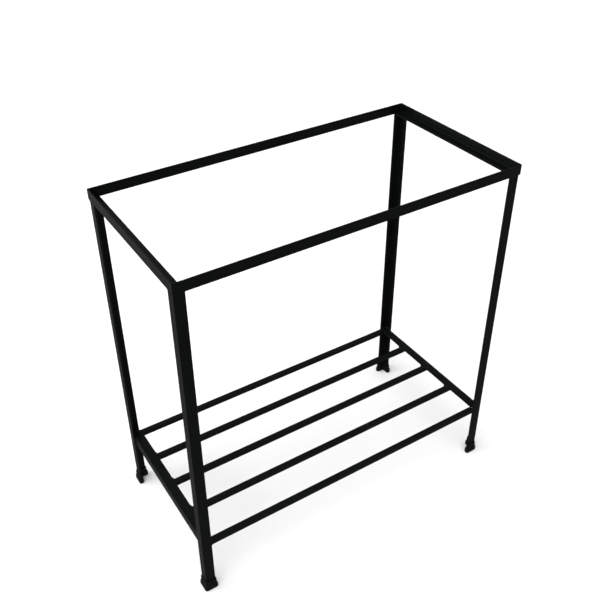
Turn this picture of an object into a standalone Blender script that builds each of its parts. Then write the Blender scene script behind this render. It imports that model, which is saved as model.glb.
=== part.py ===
"""Welded steel stand for a gas burner, with a slatted shelf and push-on foot caps.

The frame is 20 mm angle iron. Two flat bars and two angle rails make the top frame: the
angle rails' lower flanges are the ledges that the burner rests on. Four angle legs stand
under it, two angle rails sit inside the legs, and five square bars make the shelf. A
plastic cap closes each leg. Nothing moves. Metres, +Z up, front at -Y, and the origin on
the floor under the middle of the stand.
"""

import math

import bpy

# Overall sizes
FRAME_WIDTH = 0.700        # top frame, left to right, outside
FRAME_DEPTH = 0.350        # top frame, front to back, outside
STAND_HEIGHT = 0.735       # floor to the top frame's upper edge
SHELF_HEIGHT = 0.140       # floor to the top of the shelf's side rails

# Steel stock
ANGLE_WIDTH = 0.020        # each flange of the angle iron
ANGLE_THICKNESS = 0.003
FLAT_BAR_HEIGHT = ANGLE_WIDTH    # top frame's front and rear bars, on edge, over the legs
FLAT_BAR_THICKNESS = 0.003
SLAT_SIZE = 0.0111         # square bar of the shelf
SLAT_COUNT = 5
ROOT_RADIUS = 0.0025       # fillet inside the angle iron's corner
EDGE_RADIUS = 0.0005       # outer edges of all the steel
LEG_SIDE_INSET = 0.0015    # legs stand this far in from the top frame's sides

# Foot caps
CAP_HEIGHT = 0.024
CAP_FLOOR = 0.004          # plastic under the leg's end
CAP_WALL = 0.0018          # sleeve around the leg
CAP_SKIRT_WALL = 0.0039    # thicker ring at the floor
CAP_SKIRT_HEIGHT = 0.011
CAP_EDGE_RADIUS = 0.0012

# Clearances
WELD_GAP = 0.0003          # root gap between pieces that are welded together
CAP_GAP = 0.0003           # between a leg and its cap

# Mesh detail
CORNER_STEPS = 3           # segments of each rounded corner
SMALLEST_RADIUS = 0.0002   # keeps a sharp corner's points apart

# Places worked out from the sizes
LEG_SIDE_FACE = FRAME_WIDTH / 2 - LEG_SIDE_INSET
LEG_FRONT_FACE = FRAME_DEPTH / 2 - FLAT_BAR_THICKNESS - WELD_GAP
LEG_TOP = STAND_HEIGHT - ANGLE_WIDTH - WELD_GAP
LEG_BOTTOM = CAP_FLOOR + CAP_GAP
SHELF_RAIL_FACE = LEG_SIDE_FACE - ANGLE_THICKNESS - WELD_GAP
SHELF_RAIL_END = LEG_FRONT_FACE - ANGLE_THICKNESS - ROOT_RADIUS - WELD_GAP
SLAT_TOP = SHELF_HEIGHT - ANGLE_THICKNESS - WELD_GAP
END_SLAT_REACH = LEG_SIDE_FACE - ANGLE_WIDTH - WELD_GAP
INNER_SLAT_REACH = SHELF_RAIL_FACE - ANGLE_THICKNESS - ROOT_RADIUS - WELD_GAP

CORNERS = (
    ("front_left", -1, -1, 0),
    ("front_right", 1, -1, 90),
    ("rear_right", 1, 1, 180),
    ("rear_left", -1, 1, 270),
)


def clear_scene():
    """Remove every object that the scene starts with."""
    for item in list(bpy.data.objects):
        bpy.data.objects.remove(item, do_unlink=True)


def surface(name, colour, roughness, metallic):
    """Return a Principled material with one colour."""
    material = bpy.data.materials.new(name)
    material.use_nodes = True
    shader = material.node_tree.nodes["Principled BSDF"]
    shader.inputs["Base Color"].default_value = (*colour, 1.0)
    shader.inputs["Roughness"].default_value = roughness
    shader.inputs["Metallic"].default_value = metallic
    material.diffuse_color = (*colour, 1.0)
    return material


def rounded_outline(corners):
    """Turn (x, y, radius) right-angled corners, anticlockwise, into rounded outline points."""
    points = []
    for index, (x, y, radius) in enumerate(corners):
        before = corners[index - 1]
        after = corners[(index + 1) % len(corners)]
        back = unit(before[0] - x, before[1] - y)
        ahead = unit(after[0] - x, after[1] - y)
        reach = max(radius, SMALLEST_RADIUS)
        centre_x = x + reach * (back[0] + ahead[0])
        centre_y = y + reach * (back[1] + ahead[1])
        for step in range(CORNER_STEPS + 1):
            turn = math.radians(90) * step / CORNER_STEPS
            along, across = reach * math.cos(turn), reach * math.sin(turn)
            points.append((centre_x - along * ahead[0] - across * back[0],
                           centre_y - along * ahead[1] - across * back[1]))
    return points


def unit(x, y):
    """Return the unit vector of (x, y)."""
    length = math.hypot(x, y)
    return x / length, y / length


def angle_outline(offset=0.0):
    """Angle iron's L with its heel at the origin, grown outwards by offset."""
    far = ANGLE_WIDTH + offset
    near = ANGLE_THICKNESS + offset
    edge = EDGE_RADIUS + offset
    return rounded_outline([
        (-offset, -offset, edge),
        (far, -offset, edge),
        (far, near, edge),
        (near, near, ROOT_RADIUS - offset),
        (near, far, edge),
        (-offset, far, edge),
    ])


def bar_outline(height, thickness):
    """Rectangle about the origin, height along x and thickness along y."""
    x, y = height / 2, thickness / 2
    return rounded_outline([
        (-x, -y, EDGE_RADIUS),
        (x, -y, EDGE_RADIUS),
        (x, y, EDGE_RADIUS),
        (-x, y, EDGE_RADIUS),
    ])


def loft(name, rings, material):
    """Join (outline, z) rings of equal point count into one closed object."""
    count = len(rings[0][0])
    points = [(x, y, z) for outline, z in rings for x, y in outline]
    faces = [tuple(reversed(range(count)))]
    for ring in range(len(rings) - 1):
        for corner in range(count):
            here = ring * count + corner
            beside = ring * count + (corner + 1) % count
            faces.append((here, beside, beside + count, here + count))
    faces.append(tuple(range((len(rings) - 1) * count, len(rings) * count)))
    mesh = bpy.data.meshes.new(name)
    mesh.from_pydata(points, [], faces)
    mesh.shade_smooth()
    mesh.set_sharp_from_angle(angle=math.radians(35))
    mesh.materials.append(material)
    item = bpy.data.objects.new(name, mesh)
    bpy.context.scene.collection.objects.link(item)
    return item


def prism(name, outline, length, material):
    """Extrude an outline along local +Z from 0 to length."""
    return loft(name, [(outline, 0.0), (outline, length)], material)


def lengthwise_angle(name, x, z, half_length, turn, material):
    """Angle rail along Y with its heel at (x, z), its flanges along +X and +Z before turn."""
    rail = prism(name, angle_outline(), 2 * half_length, material)
    rail.location = (x, half_length, z)
    rail.rotation_euler = (math.radians(90), math.radians(turn), 0)
    return rail


def crosswise_bar(name, y, z, half_length, height, thickness, material):
    """Bar along X whose section is centred on (y, z)."""
    bar = prism(name, bar_outline(height, thickness), 2 * half_length, material)
    bar.location = (-half_length, y, z)
    bar.rotation_euler = (0, math.radians(90), 0)
    return bar


def top_frame(steel):
    """Two flat bars with two angle rails between them, their lower flanges turned in."""
    bar_y = (FRAME_DEPTH - FLAT_BAR_THICKNESS) / 2
    bar_z = STAND_HEIGHT - FLAT_BAR_HEIGHT / 2
    for name, side in (("top_rail_front", -1), ("top_rail_rear", 1)):
        crosswise_bar(name, side * bar_y, bar_z, FRAME_WIDTH / 2,
                      FLAT_BAR_HEIGHT, FLAT_BAR_THICKNESS, steel)
    rail_end = FRAME_DEPTH / 2 - FLAT_BAR_THICKNESS - WELD_GAP
    rail_z = STAND_HEIGHT - ANGLE_WIDTH
    for name, side, turn in (("top_rail_left", -1, 0), ("top_rail_right", 1, -90)):
        lengthwise_angle(name, side * FRAME_WIDTH / 2, rail_z, rail_end, turn, steel)


def legs(steel):
    """Four angle legs under the top frame, heels outwards."""
    for corner, side, end, turn in CORNERS:
        leg = prism("leg_" + corner, angle_outline(), LEG_TOP - LEG_BOTTOM, steel)
        leg.location = (side * LEG_SIDE_FACE, end * LEG_FRONT_FACE, LEG_BOTTOM)
        leg.rotation_euler = (0, 0, math.radians(turn))


def shelf(steel):
    """Two angle rails inside the legs and square slats welded under their top flanges."""
    for name, side, turn in (("shelf_rail_left", -1, 90), ("shelf_rail_right", 1, 180)):
        lengthwise_angle(name, side * SHELF_RAIL_FACE, SHELF_HEIGHT, SHELF_RAIL_END,
                         turn, steel)
    first_y = SLAT_SIZE / 2 - LEG_FRONT_FACE
    spacing = -2 * first_y / (SLAT_COUNT - 1)
    for index in range(SLAT_COUNT):
        between_legs = index in (0, SLAT_COUNT - 1)
        reach = END_SLAT_REACH if between_legs else INNER_SLAT_REACH
        crosswise_bar(f"shelf_slat_{index + 1}", first_y + index * spacing,
                      SLAT_TOP - SLAT_SIZE / 2, reach, SLAT_SIZE, SLAT_SIZE, steel)


def cap_rings():
    """Rings of a foot cap: up the outside, over the rim and down into the pocket."""
    skirt = CAP_GAP + CAP_SKIRT_WALL
    sleeve = CAP_GAP + CAP_WALL
    soften = CAP_EDGE_RADIUS
    rings = []
    for step in range(CORNER_STEPS + 1):
        turn = math.radians(90) * step / CORNER_STEPS
        rings.append((skirt - soften * (1 - math.sin(turn)), soften * (1 - math.cos(turn))))
    for step in range(CORNER_STEPS + 1):
        turn = math.radians(90) * step / CORNER_STEPS
        rings.append((skirt - soften * (1 - math.cos(turn)),
                      CAP_SKIRT_HEIGHT - soften * (1 - math.sin(turn))))
    rings.append((sleeve, CAP_SKIRT_HEIGHT))
    rim = CAP_WALL / 3
    rings.append((sleeve, CAP_HEIGHT - rim))
    rings.append((sleeve - rim, CAP_HEIGHT))
    rings.append((CAP_GAP + rim, CAP_HEIGHT))
    rings.append((CAP_GAP, CAP_HEIGHT - rim))
    rings.append((CAP_GAP, CAP_FLOOR))
    return [(angle_outline(offset), z) for offset, z in rings]


def foot_caps(plastic):
    """One push-on cap on each leg, closed underneath."""
    for corner, side, end, turn in CORNERS:
        cap = loft("foot_cap_" + corner, cap_rings(), plastic)
        cap.location = (side * LEG_SIDE_FACE, end * LEG_FRONT_FACE, 0)
        cap.rotation_euler = (0, 0, math.radians(turn))


def main():
    """Build the stand."""
    clear_scene()
    steel = surface("black_powder_coat", (0.014, 0.015, 0.015), 0.42, 0.0)
    plastic = surface("black_plastic", (0.009, 0.009, 0.010), 0.6, 0.0)
    top_frame(steel)
    legs(steel)
    shelf(steel)
    foot_caps(plastic)


main()
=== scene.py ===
"""Black welded steel stand for a gas burner: coated steel, welds, moulded foot caps, studio.

The file is laid out as an add-on. The property groups hold what a user would change, each
operator makes one piece or one group of like pieces, and main() runs them in order. What
stands at the corners is worked out for the one at +X and +Y and mirrored to the others.
"""

import math

import bpy
import numpy as np
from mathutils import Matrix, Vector


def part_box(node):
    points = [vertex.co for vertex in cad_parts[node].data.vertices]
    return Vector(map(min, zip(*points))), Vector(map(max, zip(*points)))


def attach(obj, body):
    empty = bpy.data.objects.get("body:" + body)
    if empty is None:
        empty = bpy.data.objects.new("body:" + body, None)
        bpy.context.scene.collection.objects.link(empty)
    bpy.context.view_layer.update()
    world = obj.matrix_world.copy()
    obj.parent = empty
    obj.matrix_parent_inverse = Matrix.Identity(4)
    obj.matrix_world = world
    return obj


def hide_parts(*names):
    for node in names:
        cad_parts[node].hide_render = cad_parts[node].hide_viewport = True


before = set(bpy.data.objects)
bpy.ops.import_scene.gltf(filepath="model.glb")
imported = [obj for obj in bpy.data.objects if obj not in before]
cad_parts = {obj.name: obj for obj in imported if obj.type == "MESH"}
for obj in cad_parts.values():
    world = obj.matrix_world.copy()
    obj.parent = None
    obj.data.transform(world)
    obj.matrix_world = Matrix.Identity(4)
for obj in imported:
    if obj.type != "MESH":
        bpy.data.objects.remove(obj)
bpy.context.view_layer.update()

bl_info = {
    "name": "Burner Stand",
    "version": (1, 0, 0),
    "blender": (4, 5, 0),
    "location": "View3D > Sidebar > Burner Stand",
    "description": "Dresses the stand's frame with coated steel, welds and foot caps",
    "category": "Object",
}

CORNERS = (
    ("front_left", -1, -1),
    ("front_right", 1, -1),
    ("rear_right", 1, 1),
    ("rear_left", -1, 1),
)
SIDES = (("left", -1), ("right", 1))
ENDS = (("front", -1), ("rear", 1))
SLATS = tuple(name for name in sorted(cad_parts) if name.startswith("shelf_slat_"))

# Places of the +X, +Y corner, from the packed nodes
LEG_LOW, LEG_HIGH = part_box("leg_rear_right")
BAR_LOW, BAR_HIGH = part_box("top_rail_rear")
RAIL_LOW, RAIL_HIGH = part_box("top_rail_right")
SHELF_LOW, SHELF_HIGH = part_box("shelf_rail_right")
CAP_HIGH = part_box("foot_cap_rear_right")[1]
SLAT_LOW, SLAT_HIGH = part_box(SLATS[0])
FLANGE = LEG_HIGH.x - LEG_LOW.x
THICKNESS = BAR_HIGH.y - BAR_LOW.y
SLAT_SIZE = SLAT_HIGH.z - SLAT_LOW.z

SHARPEST = 0.00004     # radius that stands for a sharp corner
MILLIMETRE = 0.001
CREASE = math.radians(46)    # edges that turn further than this are shaded sharp

# Section of a weld bead, in its legs
FACE_OUT = 0.68        # from the corner out to the face
FACE_HALF = 0.76       # half the face's width
ROOT_DEPTH = 0.15      # from the corner in to the root
RIPPLE_BOW = 0.55      # how far a ripple bows back at its sides, in ripples
RIPPLE_POWER = 0.7     # below 1, crowns are broad and grooves narrow
LEAST_REACH = 0.05     # where a bead's rounded end starts, so that it isn't a point
SLOW_DRIFT = 0.0041    # a bead's width drifts over these two lengths
QUICK_DRIFT = 0.0017
QUICK_SHARE = 0.6
TOP_SEED, SHELF_SEED, SLAT_SEED = 0, 100, 200    # first seed of each kind of weld

# Radii of a foot cap's profile
SOLE_RADIUS = 0.0024
BROW_RADIUS = 0.0013
COVE_RADIUS = 0.0007
RIM_SHARE = 0.42       # of the sleeve's wall

# Lights: name, place and share of the softboxes' power
SOFTBOXES = (
    ("left_softbox", (-2.1, 1.3, 0.8), 1.0),
    ("right_softbox", (2.4, -0.2, 0.6), 0.5),
    ("rear_softbox", (-0.4, 2.7, 0.6), 0.5),
)
SOFTBOX_SIZE = 1.8
OVERHEAD_PLACE = (-1.0, -0.5, 2.6)
OVERHEAD_SPREAD = math.radians(70)
BACKDROP_SHARE = 0.49  # backdrop's radius, of the floor's side
SENSOR_WIDTH = 36.0    # millimetres


# Shapes ---------------------------------------------------------------------------------

def rounded_outline(corners, steps):
    """Round the right-angled (x, y, radius) corners of a closed outline.

    Each corner becomes a quarter circle: centre - radius * (ahead cos t + back sin t), where
    t runs from 0 to 90 degrees, and back and ahead point along the two sides that meet there.
    """
    table = np.array(corners, float)
    place, radius = table[:, :2], np.maximum(table[:, 2:], SHARPEST)
    back = np.roll(place, 1, axis=0) - place
    ahead = np.roll(place, -1, axis=0) - place
    back /= np.linalg.norm(back, axis=1, keepdims=True)
    ahead /= np.linalg.norm(ahead, axis=1, keepdims=True)
    centre = place + radius * (back + ahead)
    turn = np.linspace(0, math.pi / 2, steps + 1)[None, :, None]
    arcs = ahead[:, None] * np.cos(turn) + back[:, None] * np.sin(turn)
    return (centre[:, None] - radius[:, None] * arcs).reshape(-1, 2)


def angle_outline(offset, shape, root_radius):
    """Rolled angle's L, heel at the origin and flanges along +x and +y, grown by offset."""
    far, near = FLANGE + offset, THICKNESS + offset
    toe, round_toe = shape.edge_radius + offset, shape.toe_radius + offset
    return rounded_outline([
        (-offset, -offset, shape.heel_radius + offset),
        (far, -offset, toe),
        (far, near, round_toe),
        (near, near, root_radius),
        (near, far, round_toe),
        (-offset, far, toe),
    ], shape.corner_steps)


def steel_angle(shape, stations):
    """Carry the angle iron's L through its stations, with the fillet of its root."""
    return carried(lambda offset: angle_outline(offset, shape, shape.root_radius - offset),
                   stations)


def box_outline(half_x, half_y, radii, offset, steps):
    """Rectangle about the origin, grown by offset, with a radius for each of its corners."""
    x, y = half_x + offset, half_y + offset
    places = ((-x, -y), (x, -y), (x, y), (-x, y))
    return rounded_outline([(*place, radius + offset) for place, radius in zip(places, radii)],
                           steps)


def eased_ends(length, radius, steps):
    """Stations (along, offset) of a length whose two ends are rounded over.

    The offset is -radius * (1 - sin t) at radius * (1 - cos t) from either end.
    """
    turn = np.linspace(0, math.pi / 2, steps + 1)
    along, offset = radius * (1 - np.cos(turn)), -radius * (1 - np.sin(turn))
    return list(zip(np.concatenate([along, length - along[::-1]]),
                    np.concatenate([offset, offset[::-1]])))


def carried(outline, stations):
    """Carry outline(offset) through (along, offset) stations: an array of (a, b, along)."""
    return np.stack([np.column_stack([line, np.full(len(line), along)])
                     for along, offset in stations for line in (outline(offset),)])


def skin(name, grids, material, nodes=()):
    """Make one piece from closed (rings, points, 3) grids, each with a flat face on both ends.

    A grid's signed volume is a sixth of the sum of a . (b x c) over its triangles. Where it is
    negative the faces look inwards, and they are turned round.
    """
    points, faces = [], []
    start = 0
    for grid in grids:
        rings, count = grid.shape[:2]
        flat = grid.reshape(-1, 3)
        row = np.arange(count)
        base = np.arange(rings - 1)[:, None] * count
        here, beside = base + row, base + (row + 1) % count
        quads = np.stack([here, beside, beside + count, here + count], axis=-1).reshape(-1, 4)
        first, last = row[::-1], row + (rings - 1) * count
        fans = [np.stack([np.full(count - 2, end[0]), end[1:-1], end[2:]], axis=1)
                for end in (first, last)]
        triangles = np.concatenate([quads[:, :3], quads[:, (0, 2, 3)], *fans])
        a, b, c = (flat[triangles[:, index]] for index in range(3))
        if np.einsum("ij,ij->", a, np.cross(b, c)) < 0:
            quads, first, last = quads[:, ::-1], first[::-1], last[::-1]
        points.append(flat)
        faces += (quads + start).tolist() + [(first + start).tolist(), (last + start).tolist()]
        start += len(flat)
    mesh = bpy.data.meshes.new(name)
    mesh.from_pydata(np.concatenate(points).tolist(), [], faces)
    mesh.validate()
    mesh.shade_smooth()
    mesh.set_sharp_from_angle(angle=CREASE)
    mesh.materials.append(material)
    piece = bpy.data.objects.new(name, mesh)
    bpy.context.scene.collection.objects.link(piece)
    even = piece.modifiers.new("even_shading", "WEIGHTED_NORMAL")
    even.keep_sharp = True
    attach(piece, "root")
    if nodes:
        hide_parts(*nodes)
    return piece


def mirrored(points, side, end):
    """The +X, +Y corner's points at another corner."""
    return points * np.array([side, end, 1.0])


def fillet_bead(way, welds, seed):
    """Fillet weld along way, rows of (x, y, z, out x, out y, out z, leg).

    The way is sampled evenly and smoothed. Its section is a triangle in the corner between two
    faces: a face from toe to toe, leg (FACE_OUT + bulge (1 - v^2)) out and FACE_HALF leg v
    across for v from -1 to 1, and a root behind it. Bulge follows |sin| lobes bowed by v^2, as
    in a row of overlapping puddles, and the leg drifts a little and shrinks to a round end.
    """
    knots = np.array(way, float)
    run = np.concatenate([[0], np.cumsum(np.linalg.norm(np.diff(knots[:, :3], axis=0), axis=1))])
    count = max(12, int(run[-1] / welds.spacing))
    even = np.linspace(0, run[-1], count)
    line = np.stack([np.interp(even, run, knots[:, column]) for column in range(7)], axis=1)
    for _ in range(welds.smoothing):
        line[1:-1] = (line[:-2] + 2 * line[1:-1] + line[2:]) / 4
    centre, out, leg = line[:, :3], line[:, 3:6], line[:, 6]
    tangent = np.gradient(centre, axis=0)
    tangent /= np.linalg.norm(tangent, axis=1, keepdims=True)
    out = out - np.einsum("ij,ij->i", out, tangent)[:, None] * tangent
    out /= np.linalg.norm(out, axis=1, keepdims=True)
    across = np.cross(tangent, out)
    near_end = np.minimum(even, run[-1] - even) / (welds.end_reach * leg)
    taper = np.sqrt(1 - (1 - np.clip(near_end, LEAST_REACH, 1)) ** 2)
    draw = np.random.default_rng(seed)
    shift = draw.uniform(0, 2 * math.pi, 3)
    wander = 1 + welds.wander * (np.sin(even / SLOW_DRIFT + shift[0])
                                 + QUICK_SHARE * np.sin(even / QUICK_DRIFT + shift[1]))
    leg = (leg * taper * wander)[:, None]
    v = np.linspace(-1, 1, welds.across_steps + 1)[None, :]
    ripples = even[:, None] / welds.ripple_pitch + RIPPLE_BOW * v ** 2 + shift[2]
    lobes = np.abs(np.sin(math.pi * ripples)) ** RIPPLE_POWER
    face_out = leg * (FACE_OUT + (welds.bulge + welds.ripple_height * lobes) * (1 - v ** 2))
    face_across = FACE_HALF * leg * v
    face = (centre[:, None] + face_out[..., None] * out[:, None]
            + face_across[..., None] * across[:, None])
    root = centre[:, None] - ROOT_DEPTH * leg[..., None] * out[:, None]
    return np.concatenate([face, root], axis=1)


# Shader nodes ---------------------------------------------------------------------------

class Wire:
    """A shader socket for use in expressions: each operator adds its Math node."""

    def __init__(self, paint, socket):
        self.paint, self.socket = paint, socket

    def maths(self, operation, first, second):
        """Add a Math node for one operation on two numbers or wires."""
        return self.paint.add("ShaderNodeMath", {"operation": operation},
                              {0: first, 1: second})

    def __add__(self, other):
        return self.maths("ADD", self, other)

    def __radd__(self, other):
        return self.maths("ADD", other, self)

    def __sub__(self, other):
        return self.maths("SUBTRACT", self, other)

    def __rsub__(self, other):
        return self.maths("SUBTRACT", other, self)

    def __mul__(self, other):
        return self.maths("MULTIPLY", self, other)

    def __rmul__(self, other):
        return self.maths("MULTIPLY", other, self)


class Paint:
    """One material and the nodes that make it."""

    def __init__(self, name):
        self.material = bpy.data.materials.new(name)
        self.material.use_nodes = True
        self.tree = self.material.node_tree
        self.shader = self.tree.nodes["Principled BSDF"]
        self.place = self.add("ShaderNodeTexCoord", output="Object")

    def add(self, kind, settings=None, values=None, output=0):
        """Add a node, apply its settings, fill its sockets and return one output as a wire."""
        node = self.tree.nodes.new(kind)
        for key, value in (settings or {}).items():
            setattr(node, key, value)
        self.fill(node, values or {})
        return Wire(self, node.outputs[output])

    def fill(self, node, values):
        """Set or link a node's sockets."""
        for key, value in values.items():
            if isinstance(value, Wire):
                self.tree.links.new(value.socket, node.inputs[key])
            else:
                node.inputs[key].default_value = value

    def noise(self, scale, detail=2.0, roughness=0.5):
        """Noise from 0 to 1 with scale features to the metre."""
        return self.add("ShaderNodeTexNoise", {"noise_dimensions": "3D"},
                        {"Vector": self.place, "Scale": scale, "Detail": detail,
                         "Roughness": roughness}, "Fac")

    def ramp(self, value, low, high):
        """Value eased from 0 at low to 1 at high."""
        return self.add("ShaderNodeMapRange", {"interpolation_type": "SMOOTHSTEP"},
                        {"Value": value, "From Min": low, "From Max": high})

    def blend(self, factor, first, second):
        """Mix two colours."""
        return self.add("ShaderNodeMix", {"data_type": "RGBA"},
                        {"Factor": factor, 6: first, 7: second}, 2)

    def bump(self, height, strength, distance, under=None):
        """Bump, on top of another bump's normal if one is given."""
        values = {"Height": height, "Strength": strength, "Distance": distance}
        if under:
            values["Normal"] = under
        return self.add("ShaderNodeBump", None, values)


def rgb(colour, gain=1.0):
    """Four numbers for a colour socket."""
    return (*(channel * gain for channel in colour), 1.0)


def powder_coat(name, looks, peel_depth, pooling):
    """Satin black powder coat: grit over orange peel, with soft drifts of tone and gloss.

    Scales are features to the metre. Pooling is how much glossier a thick coat levels out.
    """
    if name in bpy.data.materials:
        return bpy.data.materials[name]
    paint = Paint(name)
    drift_scale, cloud_scale, speck_scale = 5.5, 38.0, 950.0
    grit_scale, grit_depth = looks.peel_scale * 4.6, peel_depth * 0.22
    cloud_share, drift_share, speck_share = 0.55, 0.45, 0.22
    drift_gloss, cloud_gloss, grit_gloss, speck_gloss = 0.16, 0.12, 0.10, 0.10
    darker, lighter = rgb(looks.coat_colour, 0.82), rgb(looks.coat_colour, 1.22)
    peel = paint.noise(looks.peel_scale, 2.5, 0.55)
    grit = paint.noise(grit_scale, 1.0)
    cloud = paint.noise(cloud_scale, 3.0, 0.6)
    drift = paint.noise(drift_scale, 2.0)
    specks = paint.ramp(paint.noise(speck_scale, 1.0), 0.72, 0.78)
    tone = paint.ramp(cloud * cloud_share + drift * drift_share, 0.34, 0.66)
    colour = paint.blend(tone, darker, lighter)
    colour = paint.blend(specks * speck_share, colour, rgb(looks.dust_colour))
    roughness = (looks.coat_roughness - pooling + (drift - 0.5) * drift_gloss
                 + (cloud - 0.5) * cloud_gloss + (grit - 0.5) * grit_gloss
                 + specks * speck_gloss)
    skin_bump = paint.bump(peel, 1.0, peel_depth)
    paint.fill(paint.shader, {
        "Base Color": colour,
        "Roughness": roughness,
        "Normal": paint.bump(grit, 1.0, grit_depth, skin_bump),
        "Specular IOR Level": looks.coat_specular,
        "Specular Tint": rgb(looks.coat_sheen),
    })
    return paint.material


def moulded_plastic(name, looks):
    """Matte black polythene: spark-eroded grain, faint clouding, and pale scuffs at the floor."""
    if name in bpy.data.materials:
        return bpy.data.materials[name]
    paint = Paint(name)
    grain_scale, scuff_scale, cloud_scale = 2300.0, 420.0, 120.0
    grain_depth, scuff_reach, scuff_share = 0.00005, 0.006, 0.6
    cloud_gloss, scuff_gloss = 0.12, 0.12
    grain = paint.noise(grain_scale, 2.0, 0.6)
    cloud = paint.noise(cloud_scale, 3.0, 0.6)
    height = paint.add("ShaderNodeSeparateXYZ", None, {"Vector": paint.place}, "Z")
    low = 1.0 - paint.ramp(height, 0.0, scuff_reach)
    scuffs = low * paint.ramp(paint.noise(scuff_scale, 4.0, 0.65), 0.50, 0.62)
    darker, lighter = rgb(looks.cap_colour, 0.8), rgb(looks.cap_colour, 1.25)
    colour = paint.blend(cloud, darker, lighter)
    colour = paint.blend(scuffs * scuff_share, colour, rgb(looks.dust_colour))
    paint.fill(paint.shader, {
        "Base Color": colour,
        "Roughness": looks.cap_roughness + (cloud - 0.5) * cloud_gloss + scuffs * scuff_gloss,
        "Normal": paint.bump(grain, 1.0, grain_depth),
        "Specular IOR Level": looks.cap_specular,
    })
    return paint.material


def floor_paper(name, tone):
    """Pale studio paper with the faintest fibre."""
    paint = Paint(name)
    fibre = paint.noise(160.0, 3.0)
    grey = (tone, tone, tone)
    paint.fill(paint.shader, {
        "Base Color": paint.blend(fibre, rgb(grey), rgb(grey, 0.985)),
        "Roughness": 0.85 + (fibre - 0.5) * 0.1,
        "Specular IOR Level": 0.1,
    })
    return paint.material


def backdrop_paint(name):
    """Evenly lit white backdrop with a trace of cloud."""
    paint = Paint(name)
    cloud = paint.noise(0.2, 2.0)
    paint.fill(paint.shader, {
        "Base Color": rgb((0, 0, 0)),
        "Specular IOR Level": 0.0,
        "Emission Color": paint.blend(cloud, rgb((1, 1, 1)), rgb((1, 1, 1), 0.99)),
        "Emission Strength": 1.0,
    })
    return paint.material


# Settings -------------------------------------------------------------------------------

class StandShape(bpy.types.PropertyGroup):
    """Rounding of the steel stock."""

    heel_radius: bpy.props.FloatProperty(
        name="Heel", description="Outer corner of the angle iron", default=0.0011, unit="LENGTH")
    edge_radius: bpy.props.FloatProperty(
        name="Edge", description="Outer edge of each flange", default=0.0005, unit="LENGTH")
    toe_radius: bpy.props.FloatProperty(
        name="Toe", description="Rolled inner edge of each flange", default=0.0014,
        unit="LENGTH")
    root_radius: bpy.props.FloatProperty(
        name="Root", description="Fillet inside the angle iron", default=0.0025, unit="LENGTH")
    slat_radius: bpy.props.FloatProperty(
        name="Slat edge", description="Edges of the shelf's square bars", default=0.0009,
        unit="LENGTH")
    frame_corner: bpy.props.FloatProperty(
        name="Frame corner", description="Ground corner of the top frame, seen from above",
        default=0.0022, unit="LENGTH")
    end_radius: bpy.props.FloatProperty(
        name="Cut end", description="Coated edge at the end of a bar", default=0.0004,
        unit="LENGTH")
    corner_steps: bpy.props.IntProperty(
        name="Corner steps", description="Segments of each rounded corner", default=6, min=2)


class StandWelds(bpy.types.PropertyGroup):
    """Size and pattern of the weld beads."""

    slat_leg: bpy.props.FloatProperty(
        name="Slat weld", description="Leg of the fillets round the slats", default=0.0034,
        unit="LENGTH")
    joint_leg: bpy.props.FloatProperty(
        name="Frame weld", description="Leg of the fillets in the frame's corners",
        default=0.0027, unit="LENGTH")
    ripple_pitch: bpy.props.FloatProperty(
        name="Ripple", description="Length of one ripple along a bead", default=0.0013,
        unit="LENGTH")
    ripple_height: bpy.props.FloatProperty(
        name="Ripple height", description="Height of a ripple as a share of the leg",
        default=0.055)
    bulge: bpy.props.FloatProperty(
        name="Bulge", description="Crown of a bead as a share of its leg", default=0.10)
    wander: bpy.props.FloatProperty(
        name="Wander", description="How far a bead's width drifts, as a share of it",
        default=0.045)
    end_reach: bpy.props.FloatProperty(
        name="End", description="Length of a bead's rounded end, in legs", default=0.8)
    spacing: bpy.props.FloatProperty(
        name="Spacing", description="Distance between a bead's rings", default=0.00028,
        unit="LENGTH")
    across_steps: bpy.props.IntProperty(
        name="Across", description="Segments across a bead", default=10, min=4)
    smoothing: bpy.props.IntProperty(
        name="Smoothing", description="Passes that round the turns of a bead", default=26)


class StandCaps(bpy.types.PropertyGroup):
    """Profile of the foot caps."""

    sleeve_wall: bpy.props.FloatProperty(
        name="Sleeve", description="Plastic round the leg", default=0.0018, unit="LENGTH")
    fit: bpy.props.FloatProperty(
        name="Fit", description="Gap between the leg and its cap", default=0.0003,
        unit="LENGTH")
    skirt_height: bpy.props.FloatProperty(
        name="Skirt", description="Height of the wide ring at the floor", default=0.011,
        unit="LENGTH")
    floor_depth: bpy.props.FloatProperty(
        name="Floor", description="Plastic under the leg", default=0.004, unit="LENGTH")
    hollow_radius: bpy.props.FloatProperty(
        name="Hollow", description="Radius between the two arms of the cap's L, outside",
        default=0.0045, unit="LENGTH")
    draft: bpy.props.FloatProperty(
        name="Draft", description="How far each wall leans in towards its top",
        default=0.00018, unit="LENGTH")


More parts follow.
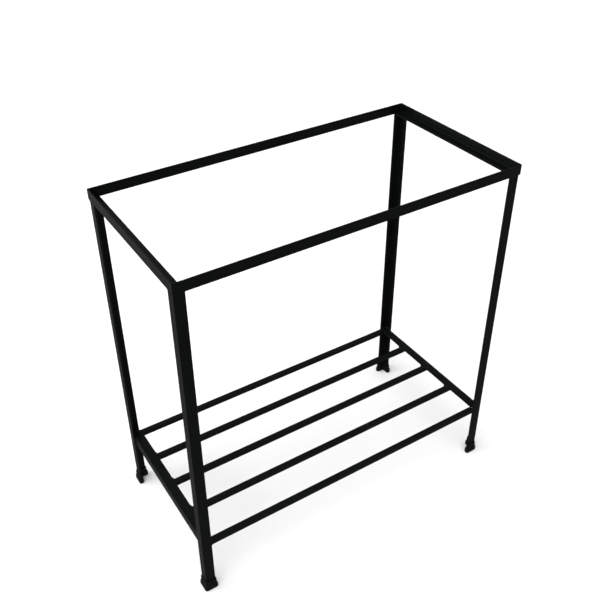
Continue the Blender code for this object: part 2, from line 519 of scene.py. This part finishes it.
class StandLooks(bpy.types.PropertyGroup):
    """Colours and gloss."""

    coat_colour: bpy.props.FloatVectorProperty(
        name="Coat", description="Powder coat", default=(0.0022, 0.0027, 0.0026),
        subtype="COLOR", size=3)
    coat_roughness: bpy.props.FloatProperty(
        name="Coat roughness", description="Gloss of the powder coat", default=0.42,
        subtype="FACTOR")
    coat_specular: bpy.props.FloatProperty(
        name="Coat reflection", description="Strength of the coat's reflection", default=0.085,
        subtype="FACTOR")
    coat_sheen: bpy.props.FloatVectorProperty(
        name="Coat sheen", description="Tint of the coat's reflection",
        default=(0.90, 1.0, 0.97), subtype="COLOR", size=3)
    peel_scale: bpy.props.FloatProperty(
        name="Orange peel", description="Dimples to the metre", default=620.0)
    cap_colour: bpy.props.FloatVectorProperty(
        name="Caps", description="Foot cap plastic", default=(0.0026, 0.0026, 0.0029),
        subtype="COLOR", size=3)
    cap_roughness: bpy.props.FloatProperty(
        name="Cap roughness", description="Gloss of the foot caps", default=0.60,
        subtype="FACTOR")
    cap_specular: bpy.props.FloatProperty(
        name="Cap reflection", description="Strength of the caps' reflection", default=0.12,
        subtype="FACTOR")
    dust_colour: bpy.props.FloatVectorProperty(
        name="Dust", description="Specks and scuffs", default=(0.045, 0.045, 0.042),
        subtype="COLOR", size=3)


class StandStudio(bpy.types.PropertyGroup):
    """Floor, light and camera."""

    floor_tone: bpy.props.FloatProperty(
        name="Floor", description="Tone of the floor", default=0.88, subtype="FACTOR")
    floor_size: bpy.props.FloatProperty(
        name="Floor size", description="Side of the floor", default=40.0, unit="LENGTH")
    surround: bpy.props.FloatProperty(
        name="Surround", description="Strength of the light from all round", default=0.28)
    side_power: bpy.props.FloatProperty(
        name="Side lights", description="Power of the softboxes round the stand", default=28.0)
    top_power: bpy.props.FloatProperty(
        name="Top light", description="Strength of the broad light overhead", default=3.3)
    camera_place: bpy.props.FloatVectorProperty(
        name="Camera", description="Place of the camera", default=(-0.7015, -1.0757, 1.3966),
        subtype="TRANSLATION", size=3)
    camera_turn: bpy.props.FloatVectorProperty(
        name="Camera turn", description="Turn of the camera",
        default=tuple(math.radians(angle) for angle in (55.43, 0.76, -31.90)),
        subtype="EULER", size=3)
    camera_lens: bpy.props.FloatProperty(
        name="Lens", description="Focal length in millimetres", default=48.2)
    camera_shift: bpy.props.FloatVectorProperty(
        name="Shift", description="Sideways and upward shift of the view",
        default=(0.0194, -0.0339), size=2)


# Pieces ---------------------------------------------------------------------------------

def coated(context, node, grid):
    """Make the coated steel piece that stands for a CAD node."""
    coat = powder_coat("powder_coat", context.scene.stand_looks, peel_depth=0.00012, pooling=0.0)
    skin("coated_" + node, [grid], coat, [node])


def welded(context, name, beads):
    """Make one group of beads, where the same coat pools and levels out."""
    coat = powder_coat("powder_coat_on_welds", context.scene.stand_looks, peel_depth=0.00006,
                       pooling=0.05)
    skin("weld_" + name, beads, coat)


class STAND_OT_top_bars(bpy.types.Operator):
    """Make the top frame's front and rear flat bars"""

    bl_idname = "stand.top_bars"
    bl_label = "Top bars"

    def execute(self, context):
        """Lift the bar's outline, seen from above, with its outer corners ground round."""
        shape = context.scene.stand_shape
        for name, end in ENDS:
            node = "top_rail_" + name
            low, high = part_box(node)
            half, middle = (high - low) / 2, (high + low) / 2
            inner, outer = SHARPEST, shape.frame_corner
            radii = (inner, inner, outer, outer)

            def outline(offset):
                return box_outline(half.x, half.y, radii, offset, shape.corner_steps)

            grid = carried(outline, eased_ends(2 * half.z, shape.edge_radius,
                                               shape.corner_steps))
            grid[..., 1] *= end
            grid += np.array([middle.x, middle.y, low.z])
            coated(context, node, grid)
        return {"FINISHED"}


def lengthwise_rail(context, node, side, upright, reach, end_radius):
    """Carry the angle's L along Y: flanges inwards, and up (1) or down (-1) from the heel."""
    shape = context.scene.stand_shape
    low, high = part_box(node)
    stations = eased_ends(2 * reach, end_radius, shape.corner_steps)
    grid = steel_angle(shape, stations)
    heel_x = max(abs(low.x), abs(high.x))
    heel_z = low.z if upright > 0 else high.z
    inward, rise, along = grid[..., 0], grid[..., 1], grid[..., 2]
    placed = np.stack([side * (heel_x - inward), along - reach, heel_z + upright * rise],
                      axis=-1)
    coated(context, node, placed)


class STAND_OT_top_rails(bpy.types.Operator):
    """Make the top frame's ledged side rails"""

    bl_idname = "stand.top_rails"
    bl_label = "Top side rails"

    def execute(self, context):
        """Run each rail up to the back of the flat bars, where the corner is ground flush."""
        for name, side in SIDES:
            lengthwise_rail(context, "top_rail_" + name, side, 1, BAR_LOW.y + SHARPEST, SHARPEST)
        return {"FINISHED"}


class STAND_OT_legs(bpy.types.Operator):
    """Make the four legs"""

    bl_idname = "stand.legs"
    bl_label = "Legs"

    def execute(self, context):
        """Lift the angle's L from the foot cap to the top frame, heel outwards."""
        shape = context.scene.stand_shape
        for name, side, end in CORNERS:
            node = "leg_" + name
            stations = eased_ends(LEG_HIGH.z - LEG_LOW.z, shape.end_radius, shape.corner_steps)
            grid = steel_angle(shape, stations)
            placed = np.stack([LEG_HIGH.x - grid[..., 0], LEG_HIGH.y - grid[..., 1],
                               LEG_LOW.z + grid[..., 2]], axis=-1)
            coated(context, node, mirrored(placed, side, end))
        return {"FINISHED"}


class STAND_OT_shelf_rails(bpy.types.Operator):
    """Make the shelf's side rails"""

    bl_idname = "stand.shelf_rails"
    bl_label = "Shelf rails"

    def execute(self, context):
        """Run each rail between the legs, its flanges inwards and down."""
        shape = context.scene.stand_shape
        for name, side in SIDES:
            lengthwise_rail(context, "shelf_rail_" + name, side, -1, SHELF_HIGH.y,
                            shape.end_radius)
        return {"FINISHED"}


class STAND_OT_slats(bpy.types.Operator):
    """Make the shelf's square bars"""

    bl_idname = "stand.slats"
    bl_label = "Slats"

    def execute(self, context):
        """Carry a rounded square along X."""
        shape = context.scene.stand_shape
        half = SLAT_SIZE / 2
        radii = (shape.slat_radius,) * 4
        for node in SLATS:
            low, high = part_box(node)
            stations = eased_ends(high.x - low.x, shape.end_radius, shape.corner_steps)
            grid = carried(lambda offset: box_outline(half, half, radii, offset,
                                                      shape.corner_steps), stations)
            placed = np.stack([low.x + grid[..., 2], (low.y + high.y) / 2 + grid[..., 0],
                               (low.z + high.z) / 2 + grid[..., 1]], axis=-1)
            coated(context, node, placed)
        return {"FINISHED"}


def quarter(centre, radius, first, last, steps):
    """Points (offset, z) of an arc about centre, between two angles in degrees."""
    turn = np.radians(np.linspace(first, last, steps + 1))
    return np.column_stack([centre[0] + radius * np.cos(turn),
                            centre[1] + radius * np.sin(turn)])


class STAND_OT_foot_caps(bpy.types.Operator):
    """Make the four moulded foot caps"""

    bl_idname = "stand.foot_caps"
    bl_label = "Foot caps"

    def execute(self, context):
        """Grow and shrink the leg's L along a profile: skirt, shoulder, sleeve, rim, pocket."""
        shape, caps = context.scene.stand_shape, context.scene.stand_caps
        steps = shape.corner_steps
        height = CAP_HIGH.z
        skirt = CAP_HIGH.x - LEG_HIGH.x
        sleeve = caps.fit + caps.sleeve_wall
        sole, brow, cove = SOLE_RADIUS, BROW_RADIUS, COVE_RADIUS
        rim = caps.sleeve_wall * RIM_SHARE
        brow_at = skirt - caps.draft - brow
        outside = np.concatenate([
            quarter((skirt - sole, sole), sole, -90, 0, steps),
            quarter((brow_at, caps.skirt_height - brow), brow, 0, 90, steps),
            quarter((sleeve + cove, caps.skirt_height + cove), cove, 270, 180, steps),
            quarter((sleeve - caps.draft - rim, height - rim), rim, 0, 90, steps),
        ])
        pocket = np.concatenate([
            quarter((caps.fit + rim, height - rim), rim, 90, 180, steps),
            [(caps.fit, caps.floor_depth)],
        ])
        grid = np.concatenate([
            carried(lambda offset: angle_outline(offset, shape, caps.hollow_radius),
                    outside[:, ::-1]),
            steel_angle(shape, pocket[:, ::-1]),
        ])
        placed = np.stack([LEG_HIGH.x - grid[..., 0], LEG_HIGH.y - grid[..., 1], grid[..., 2]],
                          axis=-1)
        plastic = moulded_plastic("moulded_plastic", context.scene.stand_looks)
        for name, side, end in CORNERS:
            node = "foot_cap_" + name
            skin("moulded_" + node, [mirrored(placed, side, end)], plastic,
                 [node])
        return {"FINISHED"}


class STAND_OT_top_welds(bpy.types.Operator):
    """Weld the top frame's corners to each other and to the legs"""

    bl_idname = "stand.top_welds"
    bl_label = "Top welds"

    def execute(self, context):
        """Three beads: up the inside corner, round the leg outside, round the leg inside."""
        welds = context.scene.stand_welds
        leg = welds.joint_leg
        step = RAIL_HIGH.x - LEG_HIGH.x
        inner_x, inner_y = RAIL_HIGH.x - THICKNESS, BAR_LOW.y
        under = RAIL_LOW.z
        leg_x, leg_y = LEG_HIGH.x, LEG_HIGH.y
        hollow_x, hollow_y = leg_x - THICKNESS, leg_y - THICKNESS
        edge = 0.7 * MILLIMETRE
        turn = 1.6 * MILLIMETRE
        inside = [
            (inner_x, inner_y, under + THICKNESS + edge, -1, -1, 0.4, leg),
            (inner_x, inner_y, BAR_HIGH.z - 2 * edge, -1, -1, 0, 0.8 * leg),
        ]
        outside = [
            (LEG_LOW.x + edge, leg_y, under, 0, 1, -1, leg),
            (leg_x - turn, leg_y, under, 0, 1, -1, leg),
            (leg_x - edge / 2, leg_y - edge / 2, under, 1, 1, -1.4, 0.75 * leg),
            (leg_x, leg_y - turn, under, 1, 0, -1, 1.1 * step),
            (leg_x, LEG_LOW.y + edge, under, 1, 0, -1, 1.1 * step),
        ]
        below = [
            (LEG_LOW.x + edge, hollow_y, under, 0, -1, -1, leg),
            (hollow_x - 2 * turn, hollow_y, under, 0, -1, -1, leg),
            (hollow_x - edge, hollow_y - edge, under, -1, -1, -1.4, leg),
            (hollow_x, hollow_y - 2 * turn, under, -1, 0, -1, leg),
            (hollow_x, LEG_LOW.y + edge, under, -1, 0, -1, leg),
        ]
        for index, (name, side, end) in enumerate(CORNERS):
            beads = [mirrored(fillet_bead(way, welds, TOP_SEED + 10 * index + number), side, end)
                     for number, way in enumerate((inside, outside, below))]
            welded(context, "top_" + name, beads)
        return {"FINISHED"}


class STAND_OT_shelf_welds(bpy.types.Operator):
    """Weld the shelf rails to the legs"""

    bl_idname = "stand.shelf_welds"
    bl_label = "Shelf welds"

    def execute(self, context):
        """Two beads: down the leg's edge outside, and along the rail's top and end inside."""
        welds = context.scene.stand_welds
        leg = welds.joint_leg
        top, bottom = SHELF_HIGH.z, SHELF_LOW.z
        face_x, hollow_x = SHELF_HIGH.x, LEG_HIGH.x - THICKNESS
        end_y = (SHELF_HIGH.y + LEG_HIGH.y - THICKNESS) / 2
        edge = 0.6 * MILLIMETRE
        turn = 1.8 * MILLIMETRE
        outside = [
            (face_x, LEG_LOW.y, top - edge, 1, -1, 0, leg),
            (face_x, LEG_LOW.y, bottom + edge, 1, -1, 0, leg),
        ]
        inside = [
            (hollow_x, LEG_LOW.y + edge, top, -1, 0, 1, leg),
            (hollow_x, end_y - 2 * turn, top, -1, 0, 1, leg),
            (hollow_x - turn, end_y - turn / 2, top, -1, -0.8, 1.4, 1.25 * leg),
            (hollow_x - 2 * turn, end_y, top - edge / 2, 0, -0.35, 1, 1.15 * leg),
            (LEG_LOW.x + edge, end_y, top - edge / 2, 0, -0.35, 1, 1.15 * leg),
        ]
        for index, (name, side, end) in enumerate(CORNERS):
            beads = [mirrored(fillet_bead(way, welds, SHELF_SEED + 10 * index + number), side,
                              end)
                     for number, way in enumerate((outside, inside))]
            welded(context, "shelf_" + name, beads)
        return {"FINISHED"}


class STAND_OT_slat_welds(bpy.types.Operator):
    """Weld both ends of each slat"""

    bl_idname = "stand.slat_welds"
    bl_label = "Slat welds"

    def execute(self, context):
        """Slats that end at a rail get a U over the top, those that end at a leg a C."""
        welds = context.scene.stand_welds
        half = SLAT_SIZE / 2
        for index, node in enumerate(SLATS):
            low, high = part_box(node)
            middle, end = (low.y + high.y) / 2, 1
            if high.x < SHELF_LOW.x + THICKNESS + MILLIMETRE:
                end = math.copysign(1, middle)
                way = self.leg_way(abs(middle), half, high.z, welds.slat_leg)
            else:
                way = self.rail_way(middle, half, high.z, welds.slat_leg)
            for name, side in SIDES:
                bead = fillet_bead(way, welds, SLAT_SEED + 10 * index + side)
                welded(context, f"{node.removeprefix('shelf_')}_{name}",
                       [mirrored(bead, side, end)])
        return {"FINISHED"}

    @staticmethod
    def rail_way(middle, half, top, leg):
        """From under the flange on one side, over the slat at the flange's edge, and back."""
        flange_x, flange_z = SHELF_LOW.x, SHELF_HIGH.z - THICKNESS
        tuck = 9 * MILLIMETRE
        ease = 1.2 * MILLIMETRE
        near = [
            (flange_x + tuck, half, flange_z, 0, 1, -1, 0.85 * leg),
            (flange_x + ease, half, flange_z, -0.2, 1, -0.9, leg),
            (flange_x, half, flange_z, -1, 1, -0.1, 1.15 * leg),
            (flange_x, half - ease, top, -1, 0.5, 0.8, 0.8 * leg),
            (flange_x, 0, top, -1, 0, 1, 0.65 * leg),
        ]
        far = [(x, -y, z, out_x, -out_y, out_z, size)
               for x, y, z, out_x, out_y, out_z, size in near[-2::-1]]
        return [(x, y + middle, *rest) for x, y, *rest in near + far]

    @staticmethod
    def leg_way(middle, half, top, leg):
        """From the front over the slat's top, down behind the leg's flange, and forward."""
        edge_x, face_y = LEG_LOW.x, middle + half
        back_y = face_y - THICKNESS
        ease = 0.8 * MILLIMETRE
        over = [
            (edge_x, face_y + 0.4 * ease, top, -1, 0, 1, 0.95 * leg),
            (edge_x, back_y + ease, top, -1, 0, 1, leg),
            (edge_x, back_y - ease / 2, top - ease, -0.2, -1, 0.7, leg),
            (edge_x + ease, back_y, top - half, 0.7, -1, 0, leg),
        ]
        base = 2 * (top - half)
        under = [(x, y, base - z, out_x, out_y, -out_z, size)
                 for x, y, z, out_x, out_y, out_z, size in over[-2::-1]]
        return over + under


# Studio ---------------------------------------------------------------------------------

def dome(radius, rows, columns):
    """Half sphere over the floor: radius (cos h cos a, cos h sin a, sin h), h from 0 to 90.

    Returns its points and its faces, which look inwards.
    """
    height = np.linspace(0, math.pi / 2, rows + 1)[:, None]
    angle = np.linspace(0, 2 * math.pi, columns, endpoint=False)[None, :]
    points = radius * np.stack([np.cos(height) * np.cos(angle), np.cos(height) * np.sin(angle),
                                np.sin(height) * np.ones_like(angle)], axis=-1)
    here = np.arange(rows)[:, None] * columns + np.arange(columns)
    beside = np.arange(rows)[:, None] * columns + (np.arange(columns) + 1) % columns
    quads = np.stack([here, here + columns, beside + columns, beside], axis=-1)
    return points.reshape(-1, 3), quads.reshape(-1, 4)


def lamp(name, kind, place, power, **settings):
    """Light of one kind at place, turned to the middle of the stand and itself not seen."""
    data = bpy.data.lights.new(name, kind)
    data.energy = power
    for key, value in settings.items():
        setattr(data, key, value)
    made = bpy.data.objects.new(name, data)
    made.location = place
    made.visible_camera = False
    middle = Vector((0, 0, LEG_HIGH.z / 2))
    made.rotation_euler = (middle - Vector(place)).to_track_quat("-Z", "Y").to_euler()
    bpy.context.scene.collection.objects.link(made)


class STAND_OT_studio(bpy.types.Operator):
    """Set out the floor, the light and the camera"""

    bl_idname = "stand.studio"
    bl_label = "Studio"

    def execute(self, context):
        """Pale floor and backdrop, broad light overhead, softboxes round about, and camera."""
        scene = context.scene
        studio = scene.stand_studio
        half = studio.floor_size / 2
        mesh = bpy.data.meshes.new("floor")
        mesh.from_pydata([(-half, -half, 0), (half, -half, 0), (half, half, 0),
                          (-half, half, 0)], [], [(0, 1, 2, 3)])
        mesh.materials.append(floor_paper("floor_paper", studio.floor_tone))
        floor = bpy.data.objects.new("floor", mesh)
        floor.visible_glossy = False
        scene.collection.objects.link(floor)

        backdrop = bpy.data.meshes.new("backdrop")
        points, faces = dome(BACKDROP_SHARE * studio.floor_size, rows=48, columns=96)
        backdrop.from_pydata(points.tolist(), [], faces.tolist())
        backdrop.materials.append(backdrop_paint("backdrop_paint"))
        sky = bpy.data.objects.new("backdrop", backdrop)
        sky.visible_diffuse = sky.visible_glossy = sky.visible_shadow = False
        scene.collection.objects.link(sky)

        world = bpy.data.worlds.new("studio")
        world.use_nodes = True
        surround = world.node_tree.nodes["Background"]
        surround.inputs["Color"].default_value = (1, 1, 1, 1)
        surround.inputs["Strength"].default_value = studio.surround
        scene.world = world
        lamp("overhead", "SUN", OVERHEAD_PLACE, studio.top_power, angle=OVERHEAD_SPREAD)
        for name, place, share in SOFTBOXES:
            lamp(name, "AREA", place, share * studio.side_power, shape="SQUARE",
                 size=SOFTBOX_SIZE)

        data = bpy.data.cameras.new("camera")
        data.lens, data.sensor_width = studio.camera_lens, SENSOR_WIDTH
        data.shift_x, data.shift_y = studio.camera_shift
        camera = bpy.data.objects.new("camera", data)
        camera.location, camera.rotation_euler = studio.camera_place, studio.camera_turn
        scene.collection.objects.link(camera)
        scene.camera = camera
        scene.view_settings.view_transform = "Standard"
        return {"FINISHED"}


# Add-on ---------------------------------------------------------------------------------

GROUPS = (
    ("stand_shape", StandShape),
    ("stand_welds", StandWelds),
    ("stand_caps", StandCaps),
    ("stand_looks", StandLooks),
    ("stand_studio", StandStudio),
)
OPERATORS = (
    STAND_OT_top_bars,
    STAND_OT_top_rails,
    STAND_OT_legs,
    STAND_OT_shelf_rails,
    STAND_OT_slats,
    STAND_OT_foot_caps,
    STAND_OT_top_welds,
    STAND_OT_shelf_welds,
    STAND_OT_slat_welds,
    STAND_OT_studio,
)


class STAND_PT_sidebar(bpy.types.Panel):
    """Lists the stand's settings and the operators that make its pieces"""

    bl_idname = "STAND_PT_sidebar"
    bl_label = "Burner Stand"
    bl_space_type = "VIEW_3D"
    bl_region_type = "UI"
    bl_category = "Burner Stand"

    def draw(self, context):
        """Show each group's settings, then one button for each operator."""
        for name, group in GROUPS:
            box = self.layout.box()
            box.label(text=group.__doc__)
            for setting in group.__annotations__:
                box.prop(getattr(context.scene, name), setting)
        for operator in OPERATORS:
            self.layout.operator(operator.bl_idname)


def register():
    """Register the classes and hang the settings on the scene."""
    for name, group in GROUPS:
        bpy.utils.register_class(group)
        setattr(bpy.types.Scene, name, bpy.props.PointerProperty(type=group))
    for item in (*OPERATORS, STAND_PT_sidebar):
        bpy.utils.register_class(item)


def unregister():
    """Take everything off again."""
    for item in reversed((*OPERATORS, STAND_PT_sidebar)):
        bpy.utils.unregister_class(item)
    for name, group in reversed(GROUPS):
        delattr(bpy.types.Scene, name)
        bpy.utils.unregister_class(group)


def main():
    """Make every piece."""
    register()
    for operator in OPERATORS:
        prefix, name = operator.bl_idname.split(".")
        getattr(getattr(bpy.ops, prefix), name)()


if __name__ == "__main__":
    main()
